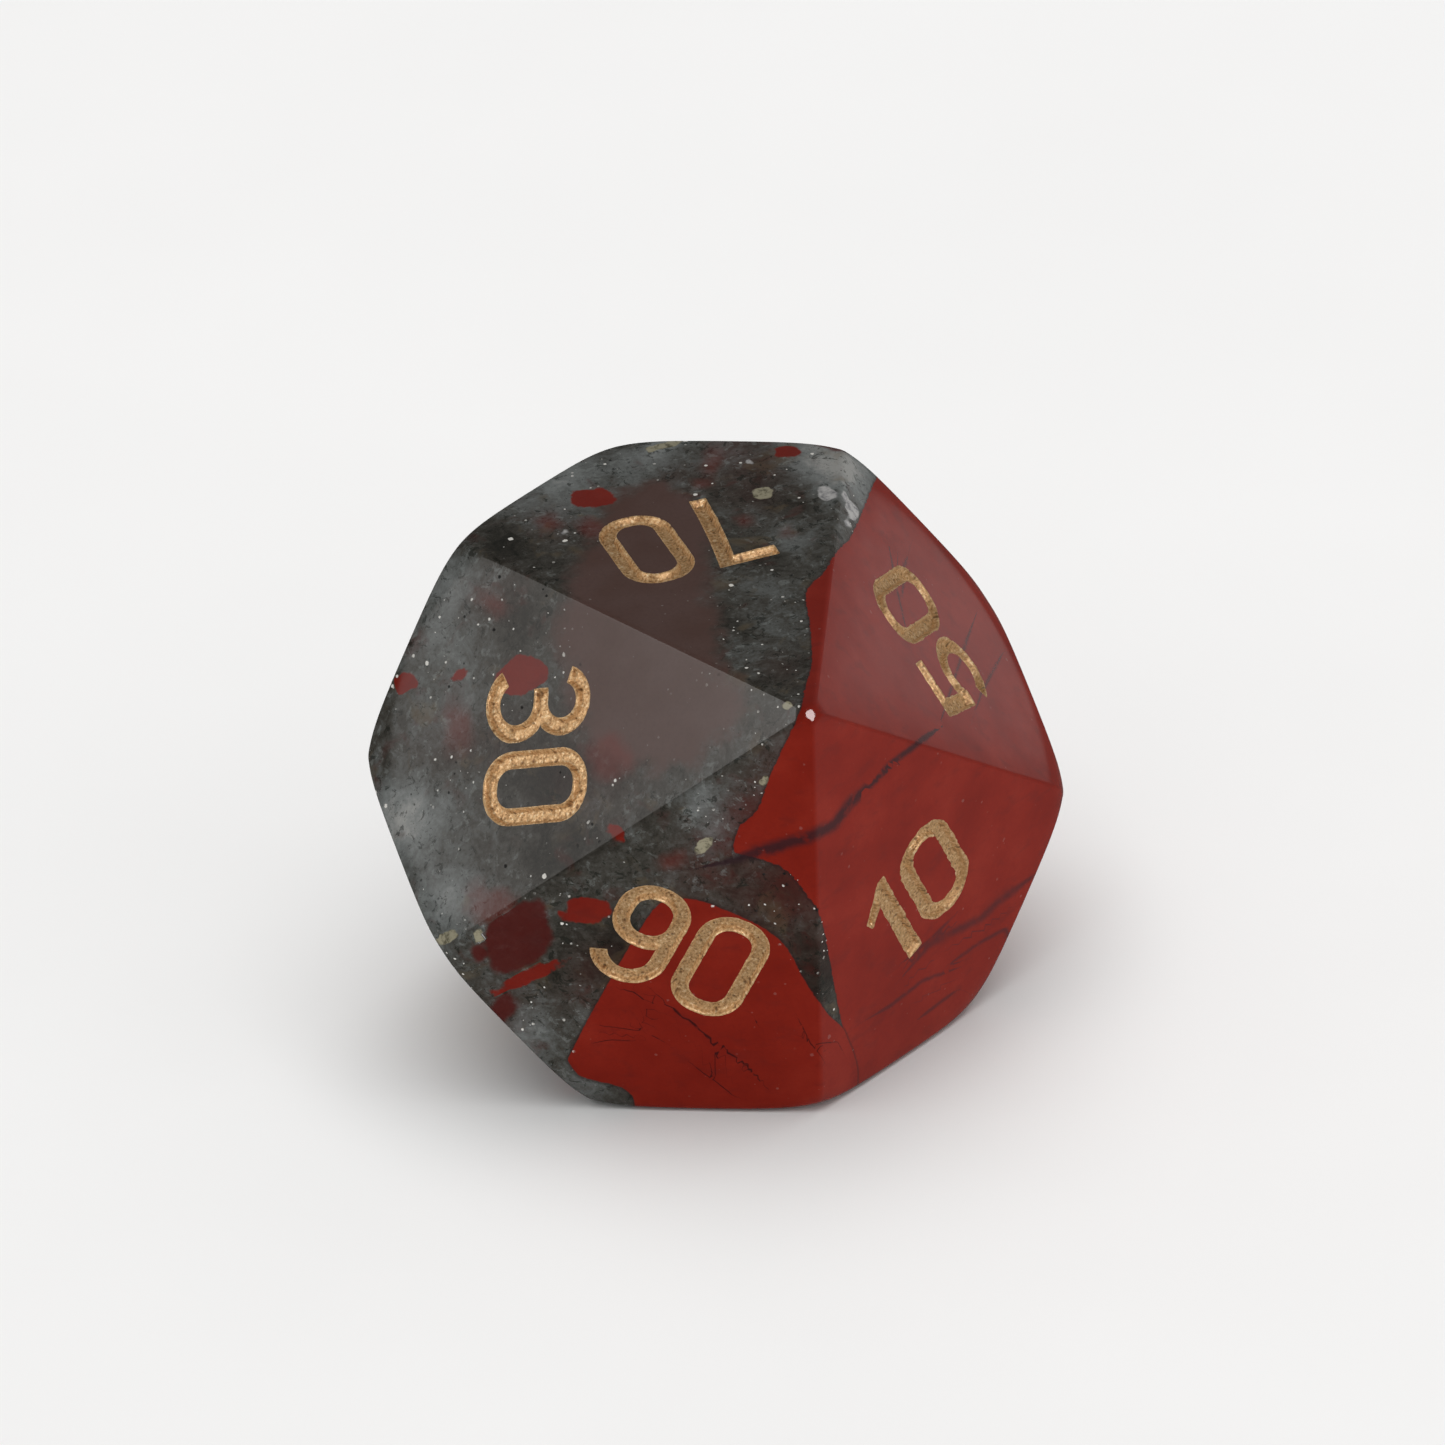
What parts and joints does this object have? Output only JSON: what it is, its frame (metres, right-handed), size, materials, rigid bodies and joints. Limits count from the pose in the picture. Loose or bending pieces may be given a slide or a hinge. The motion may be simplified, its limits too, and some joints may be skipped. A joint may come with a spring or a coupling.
{
  "type": "polyhedral die",
  "caption": "Polished stone percentile die: a ten-sided pentagonal trapezohedron with engraved tens numerals filled in gold paint.",
  "frame": {"origin": "on the table plane, straight below the middle of the die", "axes": "+Z is the outward normal of the 70 face on top and -Z that of the 20 face it rests on; the point where the odd tens meet leans towards -Y; X runs across the mirror plane of the plain polyhedron"},
  "size_m": [0.0214, 0.0198, 0.016],
  "materials": {
    "stone": "polished brecciated jasper in grey-green chalcedony, with pyrite grains",
    "gold_paint": "grainy metallic gold paint in the numeral grooves"
  },
  "bodies": {
    "root": {"stone_body": "stone", "gold_00_tens": "gold_paint", "gold_00_units": "gold_paint", "gold_10_tens": "gold_paint", "gold_10_units": "gold_paint", "gold_20_tens": "gold_paint", "gold_20_units": "gold_paint", "gold_30_tens": "gold_paint", "gold_30_units": "gold_paint", "gold_40_tens": "gold_paint", "gold_40_units": "gold_paint", "gold_50_tens": "gold_paint", "gold_50_units": "gold_paint", "gold_60_tens": "gold_paint", "gold_60_units": "gold_paint", "gold_70_tens": "gold_paint", "gold_70_units": "gold_paint", "gold_80_tens": "gold_paint", "gold_80_units": "gold_paint", "gold_90_tens": "gold_paint", "gold_90_units": "gold_paint"}
  },
  "joints": []
}
